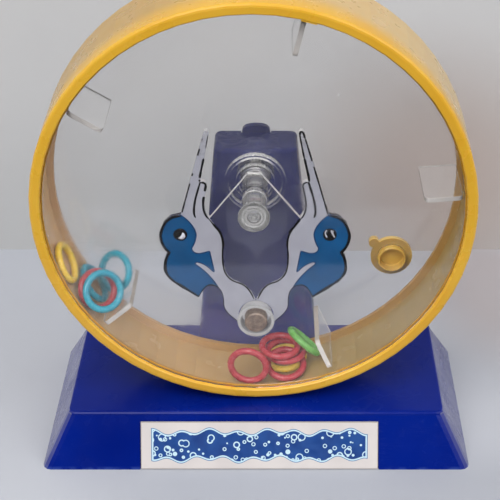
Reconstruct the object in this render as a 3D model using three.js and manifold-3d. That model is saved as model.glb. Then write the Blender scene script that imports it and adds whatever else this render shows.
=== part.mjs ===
import * as THREE from 'three';
import { mergeVertices } from 'three/addons/utils/BufferGeometryUtils.js';
import Module from 'manifold-3d';

// A toy ring toss for the table: a flat round drum with clear faces turns on a column that
// stands on a broad base. Eleven small rings lie loose in the drum, and a plate cut as two
// birds back to back hangs from the middle of the drum, kept upright by a weight.
//
// Millimetres. X runs to the right, Y to the back and Z up. The origin lies under the middle
// of the base. The drum and all that is in it are drawn about the drum's own axis, with depth
// measured back from the front edge of the drum.

const wasm = await Module();
wasm.setup();

// Base and column, one moulding
const baseWidth = 148;
const baseDepth = 73.4;
const baseHeight = 18;
const baseSlope = 8.7;
const baseCorner = 3;
const baseEdgeRound = 1.2;
const baseWall = 2.2;
const baseRibWall = 3;
const columnRise = 8.5;
const columnFootWidth = 44;
const columnTopWidth = 28.6;
const columnDepth = 16;
const columnInset = 9.3;
const columnCorner = 2.5;
const columnEdgeRound = 1.2;
const columnWall = 2;
const columnRibWall = 1.6;
const bearingBore = 5.3;
const bearingRadius = 7.2;
const bearingLength = 7;

// Cover on the back of the column
const coverThickness = 2;
const coverTabWidth = 9.8;
const coverTabRise = 2.7;
const coverScrewLow = 36;
const coverScrewHigh = 66;
const coverScrewShank = 1.2;
const coverScrewHead = 2.6;
const coverScrewHeadDepth = 1.4;
const coverScrewLength = 9;
const coverSink = 1;
const screwPostRadius = 3.2;

// Label on the front slope of the base
const labelWidth = 82;
const labelHeight = 16.6;
const labelThickness = 0.4;
const labelLift = 0.3;
const labelShift = 1.2;
const labelProud = 0.1;

// Drum
const drumRearRadius = 72.5;
const drumDepthShare = 0.4345;
const drumDraft = 0.5;
const lipRound = 1.2;
const lipWidth = 3.2;
const windowLedgeWidth = 0.6;
const ledgeThickness = 0.8;
const wallFront = 2.3;
const wallRear = 2.6;
const flangeReach = 2.3;
const flangeThickness = 1.5;
const flangeSlope = 0.5;
const rearRim = 2;
const rearRimDepth = 2.7;
const rearSeatStep = 0.5;
const bevel = 0.3;
const lipTabWidth = 5;
const lipTabReach = 0.8;
const lipTabAngle = 75.5;

// Clear faces
const faceThickness = 1.8;
const windowSink = 1;
const windowHole = 2.3;

// Turning parts behind the drum
const bossRadius = 6.6;
const bossLength = 2.5;
const bossWall = 1;
const bossCoreRadius = 4.6;
const bossGrooveDepth = 2;
const socketDepth = 3.3;
const collarOuterRadius = 10.4;
const collarInnerRadius = 9.2;
const spacerRadius = 6.5;
const spacerLength = 4;
const journalRadius = 5;
const journalLength = 11.6;
const washerRadius = 6.2;
const washerThickness = 1;
const axleScrewShank = 1.4;
const axleScrewHead = 3;
const axleScrewHeadDepth = 1.8;
const axleScrewLength = 9;
const axleScrewBoreDepth = 9.8;

// Post through the middle of the drum, and its cap
const postRadius = 4.2;
const postFrontShare = 0.295;
const pivotRadius = 2.6;
const capRadius = 5.2;
const capRimWidth = 0.6;
const capRingRadius = 3;
const capRingWidth = 0.6;
const capThickness = 0.5;
const capRimRise = 0.3;
const capStemRadius = 2;
const capStemLength = 5.8;
const capBoreDepth = 6.2;

// Paddles
const paddleCount = 5;
const paddleAngle = 4.5;
const paddleInnerShare = 0.786;
const paddleFrontGap = 1.7;
const paddleThickness = 1.6;
const paddleCorner = 2;

// Filling bung in the back face
const bungReachShare = 0.806;
const bungAngle = -33;
const bungFlangeRadius = 7.3;
const bungFlangeThickness = 1.6;
const bungStemRadius = 4.9;
const bungStemLength = 3.3;
const bungStemWall = 0.6;
const bungFloor = 1;
const bungLugRadius = 1.8;
const bungLugRise = 0.6;
const bungLugReach = 8.2;
const bungLugAngle = 140;

// Hanging plate with the two birds
const hubNose = 1.8;
const plateThickness = 1.6;
const hubRadius = 4.2;
const hubRearGap = 0.3;
const plateApex = 8.8;
const apexHalf = 2.2;
const shoulderShare = 0.207;
const shoulderDropShare = 0.1;
const filmThickness = 0.4;
const birdReachShare = 0.457;
const cupDropShare = 0.656;
const cupMouthRadius = 6.4;
const cupRootRadius = 5.8;
const cupWall = 1;
const cupDepth = 4.2;
const slugRadius = 3.9;
const slugDrop = 0.7;
const slugLength = 4.4;
const slugEdge = 0.4;

// Rings
const ringRadiusShare = 0.09;
const ringThicknessShare = 0.0157;

// Fits
const drumGap = 1;
const columnGap = 1.6;
const pivotGap = 0.3;
const slideGap = 0.3;
const faceGap = 0.2;
const filmGap = 0.3;
const screwGap = 0.15;

// How finely round things are cut
const drumSides = 60;
const hubSides = 24;
const pinSides = 16;
const ringSides = 8;
const ringSteps = 20;

// Places worked out from the sizes above
const axleHeight = baseHeight + drumGap + drumRearRadius;
const columnHeight = axleHeight + columnRise;
const drumDepth = drumDepthShare * drumRearRadius;
const drumFront = baseDepth / 2 - columnInset - columnDepth - columnGap - drumDepth;
const drumFrontRadius = drumRearRadius - drumDraft;
const lipInnerRadius = drumFrontRadius - lipWidth;
const windowSeatRadius = lipInnerRadius - bevel;
const windowLedgeRadius = windowSeatRadius - windowLedgeWidth;
const wallInnerFront = drumFrontRadius - wallFront;
const wallInnerRear = drumRearRadius - wallRear;
const rearRimRadius = drumRearRadius - rearRim;
const rearSeatRadius = rearRimRadius - rearSeatStep;
const flangeRadius = rearSeatRadius - flangeReach;
const paddleOuter = flangeRadius - slideGap;
const paddleInner = paddleInnerShare * rearSeatRadius;
const bungReach = bungReachShare * rearSeatRadius;
const birdReach = birdReachShare * rearSeatRadius;
const cupDrop = cupDropShare * rearSeatRadius;
const plateShoulder = shoulderShare * rearSeatRadius;
const plateShoulderDrop = shoulderDropShare * rearSeatRadius;
const ringRadius = ringRadiusShare * rearSeatRadius;
const ringThickness = ringThicknessShare * rearSeatRadius;
const windowBack = windowSink + faceThickness;
const flangeBack = drumDepth - rearRimDepth - faceThickness;
const discBack = flangeBack + faceThickness;
const columnFront = drumDepth + columnGap;
const columnBack = columnFront + columnDepth;
const bearingBack = columnFront + bearingLength;
const journalBack = discBack + journalLength;
const washerBack = journalBack + washerThickness;
const coverFront = columnBack - coverThickness;
const postShoulder = windowBack + postFrontShare * drumDepth;
const hubFront = postShoulder + pivotGap;
const plateFront = hubFront + hubNose;
const hubBack = flangeBack - bossLength - hubRearGap;

function turned(degrees) {
  return THREE.MathUtils.degToRad(degrees);
}

// Bare geometry: only positions, shared corners merged, facing out
function bare(geometry) {
  const copy = geometry.clone();
  copy.deleteAttribute('normal');
  copy.deleteAttribute('uv');
  const merged = mergeVertices(copy);
  const index = merged.index.array;
  const place = merged.attributes.position;
  const corners = [];
  const a = new THREE.Vector3();
  const b = new THREE.Vector3();
  const c = new THREE.Vector3();
  let volume = 0;
  for (let i = 0; i < index.length; i += 3) {
    const [p, q, r] = [index[i], index[i + 1], index[i + 2]];
    if (p === q || q === r || r === p) continue;
    a.fromBufferAttribute(place, p);
    b.fromBufferAttribute(place, q);
    c.fromBufferAttribute(place, r);
    volume += a.dot(b.clone().cross(c));
    corners.push(p, q, r);
  }
  if (volume < 0) {
    for (let i = 0; i < corners.length; i += 3) {
      [corners[i + 1], corners[i + 2]] = [corners[i + 2], corners[i + 1]];
    }
  }
  merged.setIndex(corners);
  return merged;
}

function toSolid(geometry) {
  const clean = bare(geometry);
  return new wasm.Manifold(new wasm.Mesh({
    numProp: 3,
    vertProperties: new Float32Array(clean.attributes.position.array),
    triVerts: new Uint32Array(clean.index.array),
  }));
}

function toGeometry(solid) {
  const { vertProperties, triVerts } = solid.getMesh();
  const geometry = new THREE.BufferGeometry();
  geometry.setAttribute('position', new THREE.BufferAttribute(new Float32Array(vertProperties), 3));
  geometry.setIndex(new THREE.BufferAttribute(new Uint32Array(triVerts), 1));
  return geometry;
}

function joined(...geometries) {
  return geometries.map(toSolid).reduce((whole, part) => whole.add(part));
}

function cut(solid, ...geometries) {
  return geometries.map(toSolid).reduce((whole, part) => whole.subtract(part), solid);
}

// A round pin lying along Y
function pin(radius, from, to, x = 0, z = 0, sides = hubSides) {
  return new THREE.CylinderGeometry(radius, radius, to - from, sides).translate(x, (from + to) / 2, z);
}

// A body turned about Y; the outline is a list of [radius, depth]
function lathe(outline, sides = hubSides) {
  return new THREE.LatheGeometry(outline.map(([radius, depth]) => new THREE.Vector2(radius, depth)), sides);
}

// The same for an outline that stays off the axis and closes on itself
function latheRing(outline, sides = hubSides) {
  return lathe([...outline, outline[0]], sides);
}

// A plate standing in the XZ plane, cut to an outline of points (x, z)
function uprightPlate(points, front, thickness) {
  return new THREE.ExtrudeGeometry(new THREE.Shape(points), { depth: thickness, bevelEnabled: false })
    .rotateX(Math.PI / 2)
    .translate(0, front + thickness, 0);
}

function block(x0, x1, y0, y1, z0, z1) {
  return new THREE.BoxGeometry(x1 - x0, y1 - y0, z1 - z0)
    .translate((x0 + x1) / 2, (y0 + y1) / 2, (z0 + z1) / 2);
}

// Corner points of a rectangle with round corners, anticlockwise
function roundRectangle(width, depth, corner) {
  const steps = 3;
  const points = [];
  for (let side = 0; side < 4; side += 1) {
    const signX = side === 0 || side === 3 ? 1 : -1;
    const signY = side < 2 ? 1 : -1;
    for (let step = 0; step <= steps; step += 1) {
      const angle = (side + step / steps) * (Math.PI / 2);
      points.push([
        signX * (width / 2 - corner) + corner * Math.cos(angle),
        signY * (depth / 2 - corner) + corner * Math.sin(angle),
      ]);
    }
  }
  return points;
}

// A body through level round-cornered sections, each { width, depth, corner, z }
function loft(sections) {
  const rows = sections.map(({ width, depth, corner, z }) =>
    roundRectangle(width, depth, corner).map(([x, y]) => [x, y, z]));
  const count = rows[0].length;
  const index = [];
  for (let row = 0; row + 1 < rows.length; row += 1) {
    for (let i = 0; i < count; i += 1) {
      const a = row * count + i;
      const b = row * count + (i + 1) % count;
      index.push(a, b, b + count, a, b + count, a + count);
    }
  }
  const last = (rows.length - 1) * count;
  for (let i = 1; i + 1 < count; i += 1) {
    index.push(0, i + 1, i, last, last + i, last + i + 1);
  }
  const geometry = new THREE.BufferGeometry();
  geometry.setAttribute('position', new THREE.Float32BufferAttribute(rows.flat(2), 3));
  geometry.setIndex(index);
  return geometry;
}

// Sections of a tapering block whose top edge is rounded
function roundTopSections(low, high, edge) {
  const steps = 3;
  const sections = [low];
  for (let step = 0; step <= steps; step += 1) {
    const angle = (step / steps) * (Math.PI / 2);
    const drawIn = edge * (1 - Math.cos(angle));
    sections.push({
      width: high.width - 2 * drawIn,
      depth: high.depth - 2 * drawIn,
      corner: high.corner - drawIn,
      z: high.z - edge * (1 - Math.sin(angle)),
    });
  }
  return sections;
}

function baseSection(z, inset) {
  const lean = (baseSlope * z) / baseHeight;
  return {
    width: baseWidth - 2 * (lean + inset),
    depth: baseDepth - 2 * (lean + inset),
    corner: baseCorner - inset / 2,
    z,
  };
}

function columnHalfWidth(z) {
  const rise = (z - baseHeight) / (columnHeight - baseHeight);
  return (columnFootWidth + (columnTopWidth - columnFootWidth) * rise) / 2;
}

// An upright wedge with the column's taper, drawn in by the inset; between two heights
function columnWedge(inset, low, high, from, to) {
  return uprightPlate([
    new THREE.Vector2(-columnHalfWidth(low) + inset, low),
    new THREE.Vector2(columnHalfWidth(low) - inset, low),
    new THREE.Vector2(columnHalfWidth(high) - inset, high),
    new THREE.Vector2(-columnHalfWidth(high) + inset, high),
  ], from, to - from);
}

function makeStand() {
  const y = depth => drumFront + depth;
  const outer = loft(roundTopSections(baseSection(0, 0), baseSection(baseHeight, 0), baseEdgeRound));
  const hollow = loft([
    baseSection(-baseWall, baseWall),
    baseSection(baseHeight - baseWall, baseWall),
  ]);
  const columnMiddle = y(columnFront + columnDepth / 2);
  const columnLow = baseHeight - baseWall / 2;
  const column = loft(roundTopSections(
    { width: 2 * columnHalfWidth(columnLow), depth: columnDepth, corner: columnCorner, z: columnLow },
    { width: columnTopWidth, depth: columnDepth, corner: columnCorner, z: columnHeight },
    columnEdgeRound,
  )).translate(0, columnMiddle, 0);

  const cavityLow = baseHeight + columnWall;
  const cavityHigh = columnHeight - columnWall;
  const cavityFront = y(columnFront + columnWall);
  const cavityBack = y(columnBack + columnWall);
  const cavity = columnWedge(columnWall, cavityLow, cavityHigh, cavityFront, cavityBack);
  const tabNotch = block(
    -coverTabWidth / 2 - slideGap,
    coverTabWidth / 2 + slideGap,
    y(coverFront) - slideGap,
    cavityBack,
    cavityHigh - slideGap,
    columnHeight + columnWall,
  );

  const ribBack = y(bearingBack);
  const acrossRib = block(
    -columnHalfWidth(axleHeight) + columnWall / 2,
    columnHalfWidth(axleHeight) - columnWall / 2,
    cavityFront - columnWall / 2,
    ribBack,
    axleHeight - columnRibWall / 2,
    axleHeight + columnRibWall / 2,
  );
  const uprightRib = block(
    -columnRibWall / 2,
    columnRibWall / 2,
    cavityFront - columnWall / 2,
    ribBack,
    cavityLow - columnWall / 2,
    axleHeight,
  );
  const screwPosts = [coverScrewLow, coverScrewHigh].map(z =>
    pin(screwPostRadius, cavityFront - columnWall / 2, y(coverFront), 0, z, pinSides));
  const boreFront = y(columnBack) - coverScrewLength - 2 * coverSink;
  const screwBores = [coverScrewLow, coverScrewHigh].map(z =>
    pin(coverScrewShank + screwGap, boreFront, cavityBack, 0, z, pinSides));

  const baseRib = toSolid(block(
    -baseRibWall / 2,
    baseRibWall / 2,
    -baseDepth / 2,
    baseDepth / 2,
    0,
    baseHeight - baseWall / 2,
  )).intersect(toSolid(outer));

  const whole = toSolid(outer)
    .subtract(toSolid(hollow))
    .add(baseRib)
    .add(toSolid(column))
    .subtract(toSolid(cavity))
    .add(joined(
      acrossRib,
      uprightRib,
      ...screwPosts,
      pin(bearingRadius, cavityFront - columnWall / 2, ribBack, 0, axleHeight),
    ));
  return toGeometry(cut(
    whole,
    tabNotch,
    ...screwBores,
    pin(bearingBore, y(columnFront) - columnWall, ribBack + columnWall, 0, axleHeight),
    labelBed(),
  ));
}

// The slope leans back from the foot of the base's front side
const slopeLean = Math.atan2(baseSlope, baseHeight);

function onSlope(geometry) {
  return geometry.rotateX(-slopeLean).translate(labelShift, -baseDepth / 2, 0);
}

function labelBed() {
  return onSlope(block(
    -labelWidth / 2 - slideGap,
    labelWidth / 2 + slideGap,
    -labelThickness,
    labelThickness - labelProud + slideGap,
    labelLift - slideGap,
    labelLift + labelHeight + slideGap,
  ));
}

function makeLabel() {
  return onSlope(block(
    -labelWidth / 2,
    labelWidth / 2,
    -labelProud,
    labelThickness - labelProud,
    labelLift,
    labelLift + labelHeight,
  ));
}

function makeBackCover() {
  const y = depth => drumFront + depth;
  const low = baseHeight + columnWall + slideGap;
  const high = columnHeight - columnWall - slideGap;
  const panel = columnWedge(columnWall + slideGap, low, high, y(coverFront), y(columnBack));
  const left = -coverTabWidth / 2;
  const right = coverTabWidth / 2;
  const tab = new THREE.Path();
  tab.moveTo(left, high - columnWall);
  tab.lineTo(right, high - columnWall);
  tab.lineTo(right, columnHeight);
  tab.quadraticCurveTo(right, columnHeight + coverTabRise, 0, columnHeight + coverTabRise);
  tab.quadraticCurveTo(left, columnHeight + coverTabRise, left, columnHeight);
  const holes = [coverScrewLow, coverScrewHigh].flatMap(z => [
    pin(coverScrewShank + screwGap, y(coverFront) - columnWall, y(columnBack) + columnWall, 0, z, pinSides),
    pin(coverScrewHead + slideGap, y(columnBack) - coverSink, y(columnBack) + columnWall, 0, z, pinSides),
  ]);
  const plate = joined(panel, uprightPlate(tab.getPoints(4), y(coverFront), coverThickness));
  return toGeometry(cut(plate, ...holes));
}

// A round-headed screw pointing to the front, with a cross cut in its head
const headTopShare = 0.7;

function screw(headRadius, headDepth, shankRadius, length, seat) {
  const body = lathe([
    [0, seat - length],
    [shankRadius / 2, seat - length],
    [shankRadius, seat - length + shankRadius],
    [shankRadius, seat],
    [headRadius, seat],
    [headRadius, seat + headDepth / 2],
    [headRadius * headTopShare, seat + headDepth],
    [0, seat + headDepth],
  ], pinSides);
  const slotHalf = headRadius / 8;
  const slotReach = headRadius / 2;
  const slotFloor = seat + headDepth / 2;
  const slotTop = seat + headDepth * 2;
  return cut(
    toSolid(body),
    block(-slotHalf, slotHalf, slotFloor, slotTop, -slotReach, slotReach),
    block(-slotReach, slotReach, slotFloor, slotTop, -slotHalf, slotHalf),
  );
}

function makeCoverScrew(height) {
  const seat = drumFront + columnBack - coverSink;
  return toGeometry(screw(coverScrewHead, coverScrewHeadDepth, coverScrewShank, coverScrewLength, seat))
    .translate(0, 0, height);
}

// From here on everything is drawn about the drum's axis

function makeDrumShell() {
  const arc = [];
  const steps = 3;
  for (let step = 0; step <= steps; step += 1) {
    const angle = (step / steps) * (Math.PI / 2);
    arc.push([
      drumFrontRadius - lipRound * (1 - Math.sin(angle)),
      lipRound * (1 - Math.cos(angle)),
    ]);
  }
  const shell = latheRing([
    [lipInnerRadius, 0],
    ...arc,
    [drumRearRadius, drumDepth],
    [rearRimRadius, drumDepth],
    [rearSeatRadius, drumDepth - bevel],
    [rearSeatRadius, flangeBack],
    [flangeRadius, flangeBack],
    [flangeRadius, flangeBack - flangeThickness],
    [wallInnerRear, flangeBack - flangeThickness - flangeSlope],
    [wallInnerFront, windowBack + ledgeThickness],
    [windowLedgeRadius, windowBack + ledgeThickness],
    [windowLedgeRadius, windowBack],
    [windowSeatRadius, windowBack],
    [windowSeatRadius, bevel],
  ], drumSides);
  const tab = block(
    lipInnerRadius - lipTabReach,
    lipInnerRadius + lipTabReach,
    bevel,
    windowSink - faceGap,
    -lipTabWidth / 2,
    lipTabWidth / 2,
  ).rotateY(-turned(lipTabAngle));
  return toGeometry(joined(shell, tab));
}

function makeFrontWindow() {
  const rim = windowSeatRadius - faceGap;
  return latheRing([
    [windowHole, windowSink],
    [rim, windowSink],
    [rim, windowBack],
    [windowHole, windowBack],
  ], drumSides);
}

function makeRearDisc() {
  const rim = rearSeatRadius - faceGap;
  const bossFront = flangeBack - bossLength;
  const socket = pivotRadius + faceGap;
  const bore = axleScrewShank + screwGap;
  const hub = lathe([
    [0, bossFront + socketDepth],
    [socket, bossFront + socketDepth],
    [socket, bossFront],
    [bossCoreRadius, bossFront],
    [bossCoreRadius, bossFront + bossGrooveDepth],
    [bossRadius - bossWall, bossFront + bossGrooveDepth],
    [bossRadius - bossWall, bossFront],
    [bossRadius, bossFront],
    [bossRadius, flangeBack],
    [collarInnerRadius, flangeBack],
    [collarInnerRadius, bossFront],
    [collarOuterRadius, bossFront],
    [collarOuterRadius, flangeBack],
    [collarOuterRadius * 2, flangeBack],
    [collarOuterRadius * 2, discBack],
    [spacerRadius, discBack],
    [spacerRadius, discBack + spacerLength],
    [journalRadius, discBack + spacerLength],
    [journalRadius, journalBack],
    [bore, journalBack],
    [bore, journalBack - axleScrewBoreDepth],
    [0, journalBack - axleScrewBoreDepth],
  ]);
  const disc = latheRing([
    [collarOuterRadius * 1.5, flangeBack],
    [rim, flangeBack],
    [rim, discBack],
    [collarOuterRadius * 1.5, discBack],
  ], drumSides);
  const hole = pin(
    bungStemRadius + faceGap,
    flangeBack - faceThickness,
    discBack + faceThickness,
    bungReach * Math.cos(turned(bungAngle)),
    bungReach * Math.sin(turned(bungAngle)),
  );
  return toGeometry(cut(joined(hub, disc), hole));
}

function makePost() {
  const back = flangeBack - bossLength + socketDepth - pivotGap;
  const bore = capStemRadius + faceGap;
  return lathe([
    [0, windowBack + capBoreDepth - faceThickness],
    [bore, windowBack + capBoreDepth - faceThickness],
    [bore, windowBack],
    [postRadius, windowBack],
    [postRadius, postShoulder],
    [pivotRadius, postShoulder],
    [pivotRadius, back],
    [0, back],
  ]);
}

function makePostCap() {
  const face = windowSink - capThickness;
  const rim = face - capRimRise;
  return lathe([
    [0, face],
    [capRingRadius - capRingWidth, face],
    [capRingRadius - capRingWidth, rim],
    [capRingRadius, rim],
    [capRingRadius, face],
    [capRadius - capRimWidth, face],
    [capRadius - capRimWidth, rim],
    [capRadius, rim],
    [capRadius, windowSink],
    [capStemRadius, windowSink],
    [capStemRadius, windowSink + capStemLength],
    [0, windowSink + capStemLength],
  ]);
}

function makeWasher() {
  const hole = axleScrewShank + faceGap;
  return latheRing([
    [hole, journalBack],
    [washerRadius, journalBack],
    [washerRadius, washerBack],
    [hole, washerBack],
  ]);
}

function makeAxleScrew() {
  return toGeometry(screw(axleScrewHead, axleScrewHeadDepth, axleScrewShank, axleScrewLength, washerBack));
}

function makePaddle() {
  const front = windowBack + paddleFrontGap;
  const outline = new THREE.Path();
  outline.moveTo(paddleInner, flangeBack);
  outline.lineTo(paddleInner, front + paddleCorner);
  outline.quadraticCurveTo(paddleInner, front, paddleInner + paddleCorner, front);
  outline.lineTo(paddleOuter - paddleCorner, front);
  outline.quadraticCurveTo(paddleOuter, front, paddleOuter, front + paddleCorner);
  outline.lineTo(paddleOuter, flangeBack);
  return new THREE.ExtrudeGeometry(new THREE.Shape(outline.getPoints(4)), {
    depth: paddleThickness,
    bevelEnabled: false,
  }).translate(0, 0, -paddleThickness / 2);
}

function makeBung() {
  const flangeRear = discBack + bungFlangeThickness;
  const hollow = bungStemRadius - bungStemWall;
  const body = lathe([
    [0, flangeRear - bungFloor],
    [hollow, flangeRear - bungFloor],
    [hollow, discBack - bungStemLength],
    [bungStemRadius - bevel, discBack - bungStemLength],
    [bungStemRadius, discBack - bungStemLength + bevel],
    [bungStemRadius, discBack],
    [bungFlangeRadius, discBack],
    [bungFlangeRadius, flangeRear],
    [0, flangeRear],
  ]);
  const lug = pin(
    bungLugRadius,
    discBack,
    flangeRear + bungLugRise,
    bungLugReach * Math.cos(turned(bungLugAngle)),
    bungLugReach * Math.sin(turned(bungLugAngle)),
    pinSides,
  );
  return toGeometry(joined(body, lug)).translate(
    bungReach * Math.cos(turned(bungAngle)),
    0,
    bungReach * Math.sin(turned(bungAngle)),
  );
}

// Points of one bird as shares of its reach from the middle, [out, up] from the axis
const birdShares = {
  tipOuter: [0.521, 0.688],
  tipOuterBend: [0.508, 0.768],
  tipTop: [0.48, 0.768],
  tipInnerBend: [0.448, 0.768],
  tipInner: [0.452, 0.72],
  beakInner: [0.543, 0.264],
  notch: [0.552, 0.195],
  hookBend: [0.495, 0.205],
  hook: [0.487, 0.15],
  chin: [0.515, 0],
  jawBend: [0.54, -0.155],
  jaw: [0.47, -0.235],
  beakOuter: [0.677, 0.138],
  beakRoot: [0.768, -0.193],
  crown: [0.955, -0.195],
  headSide: [1, -0.434],
  headBack: [0.995, -0.58],
  nape: [0.916, -0.647],
  shoulder: [0.965, -0.71],
  back: [0.969, -0.824],
  hip: [0.975, -0.93],
  rump: [0.87, -1.02],
  tail: [0.616, -1.208],
  tuck: [0.567, -1.118],
  tuckBend: [0.5, -1],
  thigh: [0.396, -1.093],
  bellyBend: [0.345, -1.15],
  belly: [0.353, -1.3],
  flank: [0.35, -1.4],
  foot: [0.2, -1.52],
  fork: [0.015, -1.228],
  forkBend: [0.07, -1.05],
  breast: [0.18, -1.015],
  breastBend: [0.28, -0.99],
  side: [0.321, -0.877],
  waist: [0.35, -0.76],
  middle: [0.333, -0.58],
  throat: [0.325, -0.42],
  neckFront: [0.407, -0.331],
  forehead: [0.625, -0.32],
  cheek: [0.62, -0.43],
  cheekBend: [0.63, -0.52],
  neck: [0.671, -0.588],
  collar: [0.67, -0.67],
  bib: [0.569, -0.66],
  wingTip: [0.484, -0.634],
  leafRoot: [0.442, -0.881],
  leafTop: [0.53, -0.77],
  leafTip: [0.62, -0.757],
  leafEnd: [0.655, -0.775],
  leafLow: [0.63, -0.8],
  leafFoot: [0.5, -0.9],
};

function birdPoint(name) {
  const [out, up] = birdShares[name];
  return new THREE.Vector2(out * birdReach, up * birdReach);
}

function lineTo(path, ...names) {
  for (const name of names) {
    const { x, y } = birdPoint(name);
    path.lineTo(x, y);
  }
}

function curveTo(path, bend, end) {
  const a = birdPoint(bend);
  const b = birdPoint(end);
  path.quadraticCurveTo(a.x, a.y, b.x, b.y);
}

// From the lower jaw round the hook and the beak to its root
function traceBeak(path) {
  lineTo(path, 'jaw');
  curveTo(path, 'jawBend', 'chin');
  lineTo(path, 'hook');
  curveTo(path, 'hookBend', 'notch');
  lineTo(path, 'beakInner', 'tipInner');
  curveTo(path, 'tipInnerBend', 'tipTop');
  curveTo(path, 'tipOuterBend', 'tipOuter');
  lineTo(path, 'beakOuter', 'beakRoot');
}

// Round the head, back and tail to the thigh
function traceBack(path) {
  curveTo(path, 'crown', 'headSide');
  curveTo(path, 'headBack', 'nape');
  curveTo(path, 'shoulder', 'back');
  curveTo(path, 'hip', 'rump');
  lineTo(path, 'tail', 'tuck');
  curveTo(path, 'tuckBend', 'thigh');
}

function traceBelly(path) {
  curveTo(path, 'bellyBend', 'belly');
  curveTo(path, 'flank', 'foot');
}

const curveSteps = 3;

function mirrored(points) {
  return points.map(({ x, y }) => new THREE.Vector2(-x, y));
}

function platePoints() {
  const path = new THREE.Path();
  path.moveTo(apexHalf, plateApex);
  path.lineTo(plateShoulder, -plateShoulderDrop);
  traceBeak(path);
  traceBack(path);
  traceBelly(path);
  path.quadraticCurveTo(cupMouthRadius / 2, -cupDrop - cupMouthRadius, 0, -cupDrop - cupMouthRadius);
  const right = path.getPoints(curveSteps);
  return [...right, ...mirrored(right).reverse().slice(1)];
}

function makePlate() {
  const plate = uprightPlate(platePoints(), plateFront, plateThickness);
  const hub = pin(hubRadius, hubFront, hubBack);
  const bore = pin(pivotRadius + pivotGap, hubFront - hubRadius, hubBack + hubRadius);
  return toGeometry(cut(joined(plate, hub), bore));
}

function bluePoints() {
  const path = new THREE.Path();
  const start = birdPoint('beakRoot');
  path.moveTo(start.x, start.y);
  traceBack(path);
  curveTo(path, 'leafFoot', 'leafLow');
  curveTo(path, 'leafEnd', 'leafTip');
  curveTo(path, 'leafTop', 'leafRoot');
  lineTo(path, 'wingTip', 'bib');
  curveTo(path, 'collar', 'neck');
  curveTo(path, 'cheekBend', 'cheek');
  curveTo(path, 'forehead', 'beakRoot');
  return path.getPoints(curveSteps).slice(0, -1);
}

// The whole bird down to the cup
function birdPoints() {
  const path = new THREE.Path();
  const start = birdPoint('jaw');
  path.moveTo(start.x, start.y);
  traceBeak(path);
  traceBack(path);
  traceBelly(path);
  path.lineTo(filmGap / 2, -cupDrop);
  path.lineTo(filmGap / 2, birdPoint('fork').y);
  curveTo(path, 'forkBend', 'breast');
  curveTo(path, 'breastBend', 'side');
  curveTo(path, 'waist', 'middle');
  curveTo(path, 'throat', 'neckFront');
  return path.getPoints(curveSteps);
}

// The outline moved outwards by a distance along the halves of its corners
function grown(points, distance) {
  const count = points.length;
  const way = THREE.ShapeUtils.isClockWise(points) ? -1 : 1;
  return points.map((point, i) => {
    const before = point.clone().sub(points[(i + count - 1) % count]).normalize();
    const after = points[(i + 1) % count].clone().sub(point).normalize();
    const normal = new THREE.Vector2(before.y + after.y, -before.x - after.x).normalize();
    const stretch = Math.max(0.5, normal.x * before.y - normal.y * before.x);
    return point.clone().addScaledVector(normal, (way * distance) / stretch);
  });
}

function film(points, side) {
  return uprightPlate(side < 0 ? mirrored(points) : points, plateFront - filmThickness, filmThickness);
}

function makeBlueFilm(side) {
  return film(bluePoints(), side);
}

function makeWhiteFilm(side) {
  const front = plateFront - 2 * filmThickness;
  const round = grown(bluePoints(), filmGap);
  const away = uprightPlate(side < 0 ? mirrored(round) : round, front, 3 * filmThickness);
  const cupClear = pin(cupRootRadius + filmGap, front, plateFront + filmThickness, 0, -cupDrop);
  return toGeometry(cut(toSolid(film(birdPoints(), side)), away, cupClear));
}

function makeCup() {
  const front = plateFront - cupDepth;
  return latheRing([
    [cupMouthRadius - cupWall, front],
    [cupMouthRadius, front],
    [cupRootRadius, plateFront],
    [cupRootRadius - cupWall, plateFront],
  ]).translate(0, 0, -cupDrop);
}

function makeSlug() {
  const front = plateFront - slugLength;
  return lathe([
    [0, front],
    [slugRadius - slugEdge, front],
    [slugRadius, front + slugEdge],
    [slugRadius, plateFront],
    [0, plateFront],
  ]).translate(0, 0, -cupDrop - slugDrop);
}

// How each ring lies: turnAngle is counted from straight down, clockwise seen from the front;
// reachShare and depthShare place its middle; liftAngle and swingAngle aim its axis up and round
const red = 0xc84b5a;
const yellow = 0xd7bd50;
const cyan = 0x3ca5be;
const green = 0x6ebe5f;

const leftRings = [
  {
    name: 'ring_left_yellow',
    colour: yellow,
    turnAngle: 69.5,
    reachShare: 0.97,
    depthShare: 0.397,
    liftAngle: 20,
    swingAngle: 90,
  },
  {
    name: 'ring_left_red',
    colour: red,
    turnAngle: 57.5,
    reachShare: 0.911,
    depthShare: 0.381,
    liftAngle: 30,
    swingAngle: 42,
  },
  {
    name: 'ring_left_cyan',
    colour: cyan,
    turnAngle: 57.5,
    reachShare: 0.871,
    depthShare: 0.273,
    liftAngle: 28,
    swingAngle: 35,
  },
  {
    name: 'ring_left_blue',
    colour: cyan,
    turnAngle: 56.3,
    reachShare: 0.837,
    depthShare: 0.66,
    liftAngle: 25,
    swingAngle: -38,
  },
  {
    name: 'ring_left_teal',
    colour: cyan,
    turnAngle: 57.5,
    reachShare: 0.947,
    depthShare: 0.58,
    liftAngle: 32,
    swingAngle: 90,
  },
];
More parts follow.
